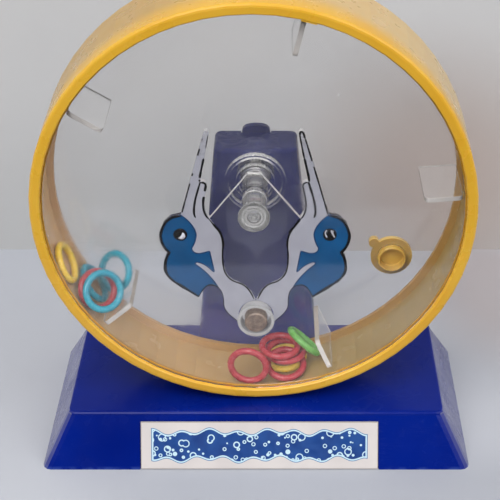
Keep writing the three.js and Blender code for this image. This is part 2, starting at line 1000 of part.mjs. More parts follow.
const lowRings = [
  {
    name: 'ring_low_red_front',
    colour: red,
    turnAngle: 2.5,
    reachShare: 0.886,
    depthShare: 0.19,
    liftAngle: 0,
    swingAngle: -8,
  },
  {
    name: 'ring_low_red_slant',
    colour: red,
    turnAngle: -9,
    reachShare: 0.934,
    depthShare: 0.346,
    liftAngle: 72,
    swingAngle: 0,
  },
  {
    name: 'ring_low_red_top',
    colour: red,
    turnAngle: -8,
    reachShare: 0.843,
    depthShare: 0.413,
    liftAngle: 88,
    swingAngle: 0,
  },
  {
    name: 'ring_low_red_middle',
    colour: red,
    turnAngle: -9.5,
    reachShare: 0.883,
    depthShare: 0.432,
    liftAngle: 88,
    swingAngle: 0,
  },
  {
    name: 'ring_low_yellow',
    colour: yellow,
    turnAngle: -9,
    reachShare: 0.966,
    depthShare: 0.56,
    liftAngle: 80,
    swingAngle: -60,
  },
  {
    name: 'ring_low_green',
    colour: green,
    turnAngle: -16,
    reachShare: 0.87,
    depthShare: 0.51,
    liftAngle: 44.3,
    swingAngle: 114.4,
  },
];

function named(name, geometry, colour, roughness, metalness = 0) {
  const material = new THREE.MeshStandardMaterial({ color: colour, roughness, metalness });
  const mesh = new THREE.Mesh(bare(geometry), material);
  mesh.name = name;
  return mesh;
}

function placedRing({ name, colour, turnAngle, reachShare, depthShare, liftAngle, swingAngle }) {
  const torus = new THREE.TorusGeometry(ringRadius, ringThickness, ringSides, ringSteps);
  const ring = named(name, torus, colour, 0.35);
  const reach = reachShare * rearSeatRadius;
  ring.position.set(
    -reach * Math.sin(turned(turnAngle)),
    depthShare * drumDepth,
    -reach * Math.cos(turned(turnAngle)),
  );
  const axis = new THREE.Vector3(
    Math.cos(turned(liftAngle)) * Math.sin(turned(swingAngle)),
    -Math.cos(turned(liftAngle)) * Math.cos(turned(swingAngle)),
    Math.sin(turned(liftAngle)),
  );
  ring.quaternion.setFromUnitVectors(new THREE.Vector3(0, 0, 1), axis);
  return ring;
}

const game = new THREE.Group();
game.add(
  named('stand', makeStand(), 0x0b2a86, 0.22),
  named('back_cover', makeBackCover(), 0x0b2a86, 0.3),
  named('cover_screw_low', makeCoverScrew(coverScrewLow), 0x9a9a9a, 0.35, 0.9),
  named('cover_screw_high', makeCoverScrew(coverScrewHigh), 0x9a9a9a, 0.35, 0.9),
  named('label', makeLabel(), 0xe8d9a0, 0.5),
);

const drum = new THREE.Group();
drum.position.set(0, drumFront, axleHeight);
drum.add(
  named('drum_shell', makeDrumShell(), 0xd6a032, 0.3),
  named('front_window', makeFrontWindow(), 0xe6ecee, 0.08),
  named('rear_disc', makeRearDisc(), 0xe6ecee, 0.08),
  named('centre_post', makePost(), 0xdfe4e8, 0.12),
  named('post_cap', makePostCap(), 0xe2e6ea, 0.12),
  named('axle_washer', makeWasher(), 0xa8a8a6, 0.35, 0.9),
  named('axle_screw', makeAxleScrew(), 0x9a9a9a, 0.35, 0.9),
  named('bung', makeBung(), 0xb98a3c, 0.35),
);
for (let i = 0; i < paddleCount; i += 1) {
  const paddle = named(`paddle_${i + 1}`, makePaddle(), 0xe6ecee, 0.08);
  paddle.rotation.y = -turned(paddleAngle + (360 / paddleCount) * i);
  drum.add(paddle);
}

const birds = new THREE.Group();
birds.add(
  named('pendulum_plate', makePlate(), 0xe6ecee, 0.08),
  named('left_bird_white', makeWhiteFilm(-1), 0xbec0cd, 0.4),
  named('right_bird_white', makeWhiteFilm(1), 0xbec0cd, 0.4),
  named('left_bird_blue', makeBlueFilm(-1), 0x1a5f94, 0.4),
  named('right_bird_blue', makeBlueFilm(1), 0x1a5f94, 0.4),
  named('weight_cup', makeCup(), 0xdfe4e8, 0.12),
  named('weight_slug', makeSlug(), 0x968778, 0.45, 0.8),
);
drum.add(birds);
drum.add(...leftRings.map(placedRing), ...lowRings.map(placedRing));
game.add(drum);

export default game;
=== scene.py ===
import math

import bmesh
import bpy
from mathutils import Matrix, Vector, noise


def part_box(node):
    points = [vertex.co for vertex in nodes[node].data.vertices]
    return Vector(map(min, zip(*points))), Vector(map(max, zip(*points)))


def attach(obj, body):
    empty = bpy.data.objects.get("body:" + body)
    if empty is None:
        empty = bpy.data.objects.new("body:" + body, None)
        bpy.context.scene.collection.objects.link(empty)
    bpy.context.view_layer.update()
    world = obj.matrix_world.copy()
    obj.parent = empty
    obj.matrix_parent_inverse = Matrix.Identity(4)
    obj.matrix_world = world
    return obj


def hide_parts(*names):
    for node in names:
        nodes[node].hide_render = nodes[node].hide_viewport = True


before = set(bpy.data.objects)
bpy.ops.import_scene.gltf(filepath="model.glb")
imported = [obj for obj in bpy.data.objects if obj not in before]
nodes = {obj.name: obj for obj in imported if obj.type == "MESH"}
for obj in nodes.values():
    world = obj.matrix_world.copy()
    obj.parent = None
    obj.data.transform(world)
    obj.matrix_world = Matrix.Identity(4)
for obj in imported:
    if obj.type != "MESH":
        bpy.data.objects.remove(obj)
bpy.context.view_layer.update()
scene = bpy.context.scene
MM = 0.001


def low(node):
    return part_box(node)[0]


def high(node):
    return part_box(node)[1]


AXLE = (low("drum_shell").z + high("drum_shell").z) / 2
DRUM_FRONT = low("drum_shell").y
DRUM_RADIUS = (high("drum_shell").x - low("drum_shell").x) / 2
FILM_FRONT = low("left_bird_white").y

# The length in which BIRD_POINTS are given
BIRD = 31.99 * MM

BASE_TOP = 18 * MM
LIP_DEPTH = 3 * MM
FLANGE_DEPTH = 24.3 * MM
DISC_BACK = DRUM_FRONT + 28.9 * MM
COLLAR_DEPTH = 2.6 * MM
HUB_RADIUS = 4.2 * MM
INK_THICK = 0.05 * MM

# Half the length and half the height of the label's band and of the label
BAND_REACH, BAND_HALF = 37.5 * MM, 5.2 * MM
LABEL_REACH, LABEL_HALF = 41 * MM, 8.3 * MM

FILMS = ("left_bird_white", "right_bird_white", "left_bird_blue", "right_bird_blue")


# Node graphs

def rgb(red, green, blue):
    """A colour written as it looks, 0 to 255, as the shader wants it."""
    def straight(value):
        value /= 255
        return value / 12.92 if value <= 0.04045 else ((value + 0.055) / 1.055) ** 2.4
    return (straight(red), straight(green), straight(blue), 1)


class Graph:
    """A material's nodes, made one after another."""

    def __init__(self, name):
        self.material = bpy.data.materials.new(name)
        self.material.use_nodes = True
        self.tree = self.material.node_tree
        self.tree.nodes.clear()
        spot = self.make("TexCoord")
        self.place = spot.outputs["Object"]
        self.facing = spot.outputs["Normal"]

    def make(self, kind, **settings):
        made = self.tree.nodes.new("ShaderNode" + kind)
        for key, value in settings.items():
            setattr(made, key, value)
        return made

    def put(self, socket, value):
        if isinstance(value, bpy.types.NodeSocket):
            self.tree.links.new(value, socket)
        else:
            socket.default_value = value

    def math(self, operation, first, second=0.0):
        made = self.make("Math", operation=operation)
        self.put(made.inputs[0], first)
        self.put(made.inputs[1], second)
        return made.outputs[0]

    def times(self, first, second):
        return self.math("MULTIPLY", first, second)

    def plus(self, first, second):
        return self.math("ADD", first, second)

    def minus(self, first, second):
        return self.math("SUBTRACT", first, second)

    def size(self, value):
        return self.math("ABSOLUTE", value)

    def length(self, first, second):
        """How far two offsets at right angles reach together."""
        return self.math("SQRT", self.plus(self.times(first, first), self.times(second, second)))

    def span(self, value, start, end, first=0.0, last=1.0):
        """The value's way from start to end as a smooth way from first to last."""
        made = self.make("MapRange", interpolation_type="SMOOTHSTEP")
        for socket, given in zip(made.inputs, (value, start, end, first, last)):
            self.put(socket, given)
        return made.outputs[0]

    def mix(self, share, first, second):
        made = self.make("Mix", data_type="RGBA")
        self.put(made.inputs[0], share)
        self.put(made.inputs[6], first)
        self.put(made.inputs[7], second)
        return made.outputs[2]

    def parts(self, vector=None):
        made = self.make("SeparateXYZ")
        self.put(made.inputs[0], vector or self.place)
        return made.outputs

    def vector(self, x, y, z):
        made = self.make("CombineXYZ")
        for socket, value in zip(made.inputs, (x, y, z)):
            self.put(socket, value)
        return made.outputs[0]

    def moved(self, scale=(1, 1, 1), turn=(0, 0, 0), shift=(0, 0, 0), vector=None):
        made = self.make("Mapping")
        self.put(made.inputs["Vector"], vector or self.place)
        made.inputs["Scale"].default_value = scale
        made.inputs["Rotation"].default_value = turn
        made.inputs["Location"].default_value = shift
        return made.outputs[0]

    def noise(self, scale, detail=2.0, vector=None, rough=0.5):
        made = self.make("TexNoise")
        self.put(made.inputs["Vector"], vector or self.place)
        made.inputs["Scale"].default_value = scale
        made.inputs["Detail"].default_value = detail
        made.inputs["Roughness"].default_value = rough
        return made.outputs["Fac"]

    def clouds(self, scale, detail, first=0.0, last=1.0):
        """Soft noise from first to last."""
        return self.span(self.noise(scale, detail), 0.3, 0.7, first, last)

    def specks(self, colour, scale, start, end, share, mark):
        """The colour with small marks on it, where fine noise lies between start and end."""
        speck = self.span(self.noise(scale, 3, rough=0.7), start, end)
        return self.mix(self.times(speck, share), colour, mark)

    def cells(self, scale, vector, randomness=1.0):
        """How far it is to the nearest of many strewn points."""
        made = self.make("TexVoronoi")
        self.put(made.inputs["Vector"], vector)
        made.inputs["Scale"].default_value = scale
        made.inputs["Randomness"].default_value = randomness
        return made.outputs["Distance"]

    def scratches(self, turn, scale=40, width=0.012, stretch=40):
        """Thin straight marks lying across the Y axis, turned in the plane of the faces."""
        across = self.moved(scale=(1, 1, stretch), turn=(0, turn, 0))
        lines = self.noise(scale, 1, across)
        edge = self.size(self.minus(lines, 0.5))
        thin = self.span(edge, 0, width, 1, 0)
        some = self.span(self.noise(35, 2), 0.52, 0.68)
        return self.times(thin, some)

    def bump(self, height, strength, distance, normal=None):
        made = self.make("Bump")
        made.inputs["Strength"].default_value = strength
        made.inputs["Distance"].default_value = distance
        self.put(made.inputs["Height"], height)
        if normal is not None:
            self.put(made.inputs["Normal"], normal)
        return made.outputs[0]

    def done(self, clear_shadow=None, **sockets):
        """A Principled surface; with clear_shadow, light goes through it in that colour."""
        shader = self.make("BsdfPrincipled")
        for name, value in sockets.items():
            self.put(shader.inputs[name.replace("_", " ")], value)
        out = self.make("OutputMaterial")
        if clear_shadow is None:
            self.put(out.inputs["Surface"], shader.outputs[0])
            return self.material
        light = self.make("LightPath")
        clear = self.make("BsdfTransparent")
        clear.inputs["Color"].default_value = clear_shadow
        mixed = self.make("MixShader")
        self.put(mixed.inputs[0], light.outputs["Is Shadow Ray"])
        self.put(mixed.inputs[1], shader.outputs[0])
        self.put(mixed.inputs[2], clear.outputs[0])
        self.put(out.inputs["Surface"], mixed.outputs[0])
        return self.material


def give(material, *names):
    for name in names:
        materials = nodes[name].data.materials
        materials.clear()
        materials.append(material)


# Materials

def blue_plastic():
    """Deep blue moulding: painted shade darkens it up the column, a painted reflection makes the base's side
    faces paler, and it is rubbed at its foot.
    """
    g = Graph("stand_blue")
    z = g.parts()["Z"]
    sideways = g.parts(g.facing)["X"]
    cloud = g.noise(28, 3)
    colour = g.mix(g.span(cloud, 0.3, 0.7), rgb(0, 24, 118), rgb(2, 32, 134))
    # Painted shade: the blue is darkened with height up the column.
    colour = g.mix(g.span(z, BASE_TOP + 1 * MM, 80 * MM, 0.15, 0.85), colour, rgb(6, 16, 68))
    dust = g.times(g.span(g.noise(700, 4, rough=0.7), 0.58, 0.72), g.span(cloud, 0.35, 0.6))
    colour = g.mix(g.times(dust, 0.06), colour, rgb(90, 110, 170))
    rub = g.times(g.span(z, 0.2 * MM, 1.2 * MM, 1, 0), g.span(g.noise(260, 3), 0.4, 0.62))
    colour = g.mix(g.times(rub, 0.35), colour, rgb(70, 95, 165))
    marks = g.plus(g.scratches(0.5), g.scratches(-0.9, 55))
    rough = g.plus(g.clouds(90, 4, 0.17, 0.3), g.times(marks, 0.25))
    # Painted reflection: the base's side faces are turned pale grey, standing in for the bright room they
    # mirror at a grazing view; the clouds make it patchy.
    side = g.times(g.span(g.size(sideways), 0.45, 0.75), g.span(z, BASE_TOP, BASE_TOP + 0.5 * MM, 1, 0))
    side = g.times(side, g.clouds(60, 4, 0.3, 0.5))
    colour = g.mix(side, colour, rgb(166, 166, 182))
    normal = g.bump(g.noise(2600, 1), 0.05, 0.05 * MM)
    normal = g.bump(g.noise(70, 1), 0.12, 1.2 * MM, normal)
    return g.done(Base_Color=colour, Roughness=rough, Normal=normal, IOR=1.42, Specular_IOR_Level=0.2)


def amber_plastic():
    """Amber moulding: clean and bright on the front edge, paler and browner on the wall, with painted light
    and shade across it from side to side and a painted shade line inside the lip.
    """
    g = Graph("drum_amber")
    x, y, z = g.parts()
    depth = g.minus(y, DRUM_FRONT)
    up = g.minus(z, AXLE)
    reach = g.length(x, up)
    lip = g.mix(g.clouds(24, 3), rgb(220, 167, 42), rgb(228, 179, 56))
    # Painted light and shade: both wall tones below are paler toward the left, where light comes through the
    # amber, and darker toward the right.
    aside = g.span(x, -30 * MM, 35 * MM)
    dark = g.mix(aside, rgb(170, 138, 94), rgb(140, 118, 70))
    light = g.mix(aside, rgb(178, 147, 104), rgb(148, 125, 78))
    wall = g.mix(g.clouds(16, 3), dark, light)
    # Painted light: the inner wall is paler still at the far left, as if lit through the amber.
    wall = g.mix(g.span(x, -68 * MM, -45 * MM, 0.9, 0), wall, rgb(210, 174, 134))
    drawn_out = g.vector(g.times(depth, 3), g.times(reach, 3), g.times(g.noise(9, 1), 0.02))
    drag = g.noise(500, 2, drawn_out)
    wall = g.mix(g.span(drag, 0.55, 0.75, 0, 0.12), wall, rgb(146, 108, 60))
    # Painted shade: the flange band is paler at the left and darker toward the right.
    flange = g.mix(g.span(x, -45 * MM, 0), rgb(180, 148, 116), rgb(150, 112, 54))
    wall = g.mix(g.span(depth, FLANGE_DEPTH - 0.3 * MM, FLANGE_DEPTH + 0.3 * MM, 0, 0.75), wall, flange)
    # Painted light: the outside of the wall is paler toward the right and darker toward the left.
    outer = g.mix(g.span(x, -30 * MM, 50 * MM), rgb(178, 148, 98), rgb(206, 182, 140))
    within = g.span(reach, DRUM_RADIUS - 1.6 * MM, DRUM_RADIUS - 0.8 * MM, 1, 0)
    wall = g.mix(within, outer, wall)
    inside = g.times(g.span(depth, LIP_DEPTH - 0.4 * MM, LIP_DEPTH + 0.4 * MM), within)
    colour = g.mix(g.math("MAXIMUM", inside, g.span(depth, 2 * MM, 14 * MM, 0, 0.75)), lip, wall)
    # Painted shade: a dark brown line in the corner where the lip meets the inner wall.
    edge = g.times(inside, g.span(depth, LIP_DEPTH + 0.6 * MM, LIP_DEPTH + 3.2 * MM, 1, 0))
    colour = g.mix(g.times(edge, 0.55), colour, rgb(140, 92, 44))
    colour = g.specks(colour, 900, 0.66, 0.74, 0.12, rgb(130, 88, 34))
    rough = g.minus(g.clouds(120, 4, 0.24, 0.38), g.times(inside, 0.1))
    normal = g.bump(g.noise(2400, 1), 0.05, 0.05 * MM)
    normal = g.bump(g.noise(60, 1), 0.12, 1 * MM, normal)
    return g.done(Base_Color=colour, Roughness=rough, Normal=normal, IOR=1.5,
                  Subsurface_Weight=0.25, Subsurface_Radius=(1.0, 0.6, 0.25), Subsurface_Scale=2 * MM)


def clear_plastic(name, haze, edge="plain", dull=(0.01, 0.035), milky=None, bend=1.49, tint=0.99):
    """Clear moulded plastic; haze is its dull share, edge says how its narrow faces look: as
    clear as the rest, white and inked round a flat plate, brown and milky on a blade, or with
    moulded hoops about the axle; milky is a depth in front of which its round walls are cloudier."""
    g = Graph(name)
    x, y, z = g.parts()
    marks = g.math("MAXIMUM", g.scratches(-0.5, 60), g.scratches(1.7, 48))
    marks = g.math("MAXIMUM", g.scratches(0.7), marks)
    smear = g.span(g.noise(45, 4, rough=0.6), 0.35, 0.7)
    spot = g.span(g.noise(420, 2), 0.74, 0.8)
    worn = g.math("MAXIMUM", marks, spot)
    cloudy = g.plus(g.times(smear, haze * 0.6), haze * 0.7)
    cloudy = g.plus(cloudy, g.times(worn, 0.03))
    rough = g.plus(g.times(smear, dull[1] - dull[0]), dull[0])
    rough = g.plus(rough, g.times(worn, 0.25))
    colour = g.mix(smear, (tint + 0.008, tint + 0.007, tint + 0.01, 1),
                   (tint - 0.005, tint - 0.008, tint - 0.008, 1))
    nx, ny, nz = g.parts(g.facing)
    up = g.minus(z, AXLE)
    reach = g.length(x, up)
    white = None
    if edge == "flat":
        narrow = g.span(g.size(ny), 0.3, 0.8, 1, 0)
        inked = g.times(narrow, g.span(g.size(x), 18 * MM, 20 * MM))
        inked = g.times(inked, g.span(z, AXLE - 0.12 * BIRD, AXLE - 0.08 * BIRD, 1, 0))
        colour = g.mix(inked, colour, (0.05, 0.06, 0.1, 1))
        beyond_hub = g.span(reach, HUB_RADIUS + 0.1 * MM, HUB_RADIUS + 0.6 * MM)
        white = g.times(g.times(narrow, 0.42), beyond_hub)
        foot = (low("weight_cup") + high("weight_cup")) / 2
        aside, above = g.minus(x, foot.x), g.minus(z, foot.z)
        away = g.length(aside, above)
        white = g.math("MAXIMUM", white, g.span(away, 5 * MM, 5.4 * MM, 0.36, 0))
    elif edge == "hoops":
        lines = [g.span(g.size(g.minus(reach, radius * MM)), 0.12 * MM, 0.4 * MM, 1, 0)
                 for radius in (1.5, 2.7, 3.7)]
        line = g.math("MAXIMUM", lines[0], g.math("MAXIMUM", lines[1], lines[2]))
        white = g.plus(g.times(line, 0.1), g.span(reach, 0.3 * MM, 0.9 * MM, 0.12, 0))
    elif edge == "blade":
        across = g.minus(g.times(nx, up), g.times(nz, x))
        across = g.math("DIVIDE", across, g.math("MAXIMUM", reach, 1 * MM))
        narrow = g.span(g.size(across), 0.3, 0.8, 1, 0)
        front = g.span(ny, -0.8, -0.4, 1, 0)
        brown = g.times(narrow, g.minus(1.0, front))
        colour = g.mix(brown, colour, (0.52, 0.47, 0.41, 1))
        colour = g.mix(front, colour, (0.93, 0.89, 0.87, 1))
        white = g.plus(g.times(front, 0.32), g.times(brown, 0.4))
    elif milky is not None:
        round_wall = g.span(g.size(ny), 0.3, 0.8, 0.18, 0.02)
        white = g.times(g.span(y, milky - 0.1 * MM, milky, 1, 0), round_wall)
    if white is not None:
        cloudy = g.plus(cloudy, white)
        rough = g.plus(rough, g.times(white, 0.5))
    clearness = g.minus(1.0, g.math("MINIMUM", cloudy, 0.95))
    normal = g.bump(g.noise(30, 1), 0.05, 1 * MM)
    normal = g.bump(marks, 0.08, 0.03 * MM, normal)
    return g.done(clear_shadow=(0.985, 0.985, 0.985, 1), Base_Color=colour, Roughness=rough, Normal=normal,
                  IOR=bend, Transmission_Weight=clearness)


def print_ink(name, dark, light, wear, through, fade=False):
    """Printed ink; through is how clear it is, and fade wears it away up the beaks."""
    g = Graph(name)
    colour = g.specks(g.mix(g.clouds(140, 3), dark, light), 1500, 0.68, 0.76, 0.4, wear)
    cover = 1 - through
    if fade:
        rise = g.span(g.parts()["Z"], AXLE + 0.2 * BIRD, AXLE + 0.78 * BIRD)
        patch = g.span(g.plus(g.noise(330, 3), g.times(rise, 0.3)), 0.55, 0.8)
        gone = g.times(g.math("MAXIMUM", patch, g.times(rise, 0.8)), rise)
        cover = g.minus(cover, g.times(gone, 0.6))
    else:
        cover = g.clouds(60, 2, cover - 0.03, cover + 0.03)
    rough = g.clouds(400, 3, 0.3, 0.45)
    normal = g.bump(g.noise(1200, 2), 0.1, 0.05 * MM)
    return g.done(Base_Color=colour, Roughness=rough, Normal=normal, IOR=1.45, Alpha=cover,
                  Specular_IOR_Level=0.1)


def outline_ink(name, colour, lighter):
    g = Graph(name)
    shade = g.mix(g.span(g.noise(900, 3), 0.4, 0.7), colour, lighter)
    rough = g.clouds(700, 2, 0.35, 0.55)
    return g.done(Base_Color=shade, Roughness=rough, Normal=g.bump(g.noise(2000, 2), 0.15, 0.04 * MM),
                  Specular_IOR_Level=0.06)


def ring_plastic(name, deep, bright):
    g = Graph(name)
    mark = tuple(share * 0.5 for share in deep[:3]) + (1,)
    colour = g.specks(g.mix(g.clouds(240, 2), deep, bright), 1300, 0.68, 0.76, 0.25, mark)
    rough = g.clouds(500, 3, 0.2, 0.34)
    normal = g.bump(g.noise(900, 1), 0.08, 0.08 * MM)
    return g.done(Base_Color=colour, Roughness=rough, Normal=normal, IOR=1.5,
                  Subsurface_Weight=0.3, Subsurface_Radius=(1.0, 0.7, 0.7), Subsurface_Scale=1.2 * MM)


def amber_bung():
    """Amber rubber; the flange that lies behind the clear disc is painted paler, as painted light against the
    shade it sits in there.
    """
    g = Graph("bung_amber")
    y = g.parts()["Y"]
    cloud = g.clouds(120, 3)
    stem = g.mix(cloud, rgb(186, 149, 64), rgb(196, 159, 74))
    # Painted light: the flange gets a paler amber to lift the shade it lies in behind the clear disc.
    flange = g.mix(cloud, rgb(210, 172, 70), rgb(220, 184, 84))
    seat = g.times(g.span(y, DISC_BACK - 0.4 * MM, DISC_BACK - 0.2 * MM),
                  g.span(y, DISC_BACK + 0.3 * MM, DISC_BACK + 0.5 * MM, 1, 0))
    colour = g.specks(g.mix(seat, stem, flange), 1100, 0.64, 0.74, 0.2, rgb(130, 94, 40))
    rough = g.clouds(260, 3, 0.3, 0.48)
    return g.done(Base_Color=colour, Roughness=rough, Normal=g.bump(g.noise(700, 2), 0.12, 0.1 * MM), IOR=1.5,
                  Subsurface_Weight=0.25, Subsurface_Radius=(1.0, 0.6, 0.25), Subsurface_Scale=2 * MM)


def metal(name, dark, light, rust, metallic, rust_share):
    """Dulled metal; rust_share moves how much of it is stained."""
    g = Graph(name)
    cloud = g.noise(500, 4, rough=0.6)
    colour = g.mix(g.span(cloud, 0.3, 0.7), dark, light)
    stain = g.span(g.noise(420, 5, rough=0.65), 0.62 - rust_share, 0.8 - rust_share)
    colour = g.mix(stain, colour, rust)
    shine = g.minus(metallic, g.times(stain, metallic * 0.8))
    rough = g.plus(g.clouds(900, 3, 0.3, 0.45), g.times(stain, 0.2))
    normal = g.bump(g.noise(1500, 3), 0.2, 0.08 * MM)
    return g.done(Base_Color=colour, Roughness=rough, Metallic=shine, Normal=normal)


def label_print():
    """A pale strip with a band of blue ripples and bubbles of no particular design."""
    g = Graph("label_print")
    lowest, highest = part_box("label")
    x, y, z = g.parts()
    along = g.minus(x, (lowest.x + highest.x) / 2)
    lean = math.hypot(highest.y - lowest.y, highest.z - lowest.z) / (highest.z - lowest.z)
    rise = g.times(g.minus(z, (lowest.z + highest.z) / 2), lean)
    wave = g.times(g.math("SINE", g.times(along, math.tau / (9.8 * MM))), 0.8 * MM)
    swell = g.times(g.math("SINE", g.times(along, math.tau / (23.1 * MM))), 0.5 * MM)
    top = g.plus(g.plus(wave, swell), BAND_HALF)
    bottom = g.minus(g.minus(swell, wave), BAND_HALF)
    inner = g.math("MINIMUM", g.minus(top, rise), g.minus(rise, bottom))
    inner = g.math("MINIMUM", inner, g.minus(BAND_REACH, g.size(along)))
    flat = g.vector(along, rise, 0)
    paper = g.mix(g.clouds(60, 3), rgb(206, 199, 197), rgb(215, 208, 205))
    stain = g.span(g.noise(130, 4, rough=0.6), 0.62, 0.76, 0, 0.35)
    paper = g.mix(stain, paper, rgb(176, 160, 138))
    blue = g.mix(g.clouds(150, 3), rgb(0, 54, 124), rgb(4, 68, 140))
    pale = rgb(196, 224, 236)

    def hoop(distance, radius, line):
        away = g.size(g.minus(distance, radius))
        return g.span(away, line * 0.6, line, 1, 0)

    big = hoop(g.cells(230, flat, 0.85), 0.28, 0.05)
    small = hoop(g.cells(400, g.moved(shift=(0.013, 0.007, 0), vector=flat)), 0.24, 0.075)
    fill = g.mix(g.math("MAXIMUM", big, small), blue, pale)
    colour = g.mix(g.span(inner, 0, 0.18 * MM), paper, rgb(30, 104, 160))
    colour = g.mix(g.span(inner, 0.25 * MM, 0.4 * MM), colour, pale)
    colour = g.mix(g.span(inner, 0.75 * MM, 0.9 * MM), colour, fill)
    edge = g.math("MINIMUM", g.minus(LABEL_REACH, g.size(along)), g.minus(LABEL_HALF, g.size(rise)))
    colour = g.mix(g.span(edge, 0.1 * MM, 0.4 * MM, 0.5, 0), colour, rgb(120, 108, 96))
    rough = g.clouds(300, 3, 0.42, 0.6)
    normal = g.bump(g.noise(1800, 2), 0.08, 0.05 * MM)
    return g.done(Base_Color=colour, Roughness=rough, Normal=normal)


give(blue_plastic(), "stand", "back_cover")
give(label_print(), "label")
give(amber_plastic(), "drum_shell")
give(amber_bung(), "bung")
give(clear_plastic("window_clear", 0.002, dull=(0.004, 0.02)), "front_window")
give(clear_plastic("disc_clear", 0.003, dull=(0.004, 0.02), milky=low("rear_disc").y + COLLAR_DEPTH),
     "rear_disc")
give(clear_plastic("post_clear", 0.05, dull=(0.01, 0.05), bend=1.22, tint=0.9), "centre_post")
give(clear_plastic("cap_clear", 0.06, "hoops", dull=(0.02, 0.05), bend=1.25, tint=0.78), "post_cap")
give(clear_plastic("paddle_clear", 0.03, "blade"), *[f"paddle_{k}" for k in range(1, 6)])
give(clear_plastic("plate_clear", 0.004, "flat", bend=1.3), "pendulum_plate")
give(clear_plastic("cup_clear", 0.7, dull=(0.1, 0.2), tint=0.44), "weight_cup")
give(metal("slug_metal", rgb(104, 88, 78), rgb(140, 122, 108), rgb(100, 74, 54), 0.35, 0.05), "weight_slug")
give(metal("screw_metal", rgb(140, 140, 142), rgb(176, 176, 176), rgb(120, 86, 60), 0.85, 0),
     "cover_screw_low", "cover_screw_high", "axle_screw", "axle_washer")
give(print_ink("white_ink", rgb(148, 149, 160), rgb(156, 157, 168), rgb(124, 125, 140), 0.03, fade=True),
     *FILMS[:2])
give(print_ink("blue_ink", rgb(0, 64, 108), rgb(2, 74, 124), rgb(0, 46, 88), 0.02), *FILMS[2:])

# The films are lifted off the plate by a hair, so that their backs show through it
for name in FILMS:
    lift = nodes[name].modifiers.new("lift", "DISPLACE")
    lift.direction = "Y"
    lift.mid_level = 0
    lift.strength = -0.02 * MM

RING_COLOURS = {
    "yellow": ring_plastic("ring_yellow", rgb(218, 182, 58), rgb(228, 196, 78)),
    "red": ring_plastic("ring_red", rgb(152, 44, 53), rgb(163, 58, 64)),
    "cyan": ring_plastic("ring_cyan", rgb(8, 126, 148), rgb(26, 140, 160)),
    "green": ring_plastic("ring_green", rgb(88, 146, 66), rgb(106, 160, 82)),
}


# Rings, each as the CAD solid lies, with a fine round section and a mould line

def ring_frame(name):
    """A CAD ring's centre and its axis, the way in which its vertices spread least."""
    places = [v.co for v in nodes[name].data.vertices]
    centre = sum(places, Vector()) / len(places)
    spread = Matrix(((0,) * 3,) * 3)
    for place in places:
        away = place - centre
        for i in range(3):
            for j in range(3):
                spread[i][j] += away[i] * away[j]
    inverse = spread.inverted_safe()
    axis = Vector((0.3, 0.5, 0.8))
    for _ in range(60):
        axis = (inverse @ axis).normalized()
    return centre, axis


def make_ring(name, material, seed):
    """A closed tube round the axis; the seed says where it is a little uneven."""
    centre, axis = ring_frame(name)
    radius, tube = 6.22 * MM, 1.18 * MM
    steps, sides = 56, 18
    turn = axis.to_track_quat("Z", "Y").to_matrix()
    bm = bmesh.new()
    rows = []
    for i in range(steps):
        a = math.tau * i / steps
        row = []
        for j in range(sides):
            b = math.tau * j / sides
            seam = 1.03 if j == 0 else 1.0
            uneven = 0.985 + 0.015 * math.sin(2 * a + seed) * math.cos(b)
            out = radius + tube * seam * uneven * math.cos(b)
            place = Vector((out * math.cos(a), out * math.sin(a), tube * uneven * math.sin(b)))
            row.append(bm.verts.new(centre + turn @ place))
        rows.append(row)
    for i in range(steps):
        near, far = rows[i], rows[(i + 1) % steps]
        for j in range(sides):
            bm.faces.new((near[j], far[j], far[(j + 1) % sides], near[(j + 1) % sides]))
    return finish_piece(bm, name + "_piece", material)


def finish_piece(bm, name, material):
    bmesh.ops.recalc_face_normals(bm, faces=bm.faces)
    mesh = bpy.data.meshes.new(name)
    bm.to_mesh(mesh)
    bm.free()
    for face in mesh.polygons:
        face.use_smooth = True
    mesh.materials.append(material)
    piece = bpy.data.objects.new(name, mesh)
    scene.collection.objects.link(piece)
    return piece


RING_NAMES = sorted(name for name in nodes if name.startswith("ring_"))
# The colours of the rings whose names don't end in one
SEEN_AS = {"blue": "cyan", "teal": "cyan", "slant": "red", "top": "red", "middle": "red", "front": "red"}

for number, name in enumerate(RING_NAMES):
    word = name.split("_")[-1]
    colour = SEEN_AS.get(word, word)
    ring = make_ring(name, RING_COLOURS[colour], number)
    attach(ring, "left_rings" if name.startswith("ring_left") else "low_rings")
    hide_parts(name)


# The birds' printed outlines and eyes

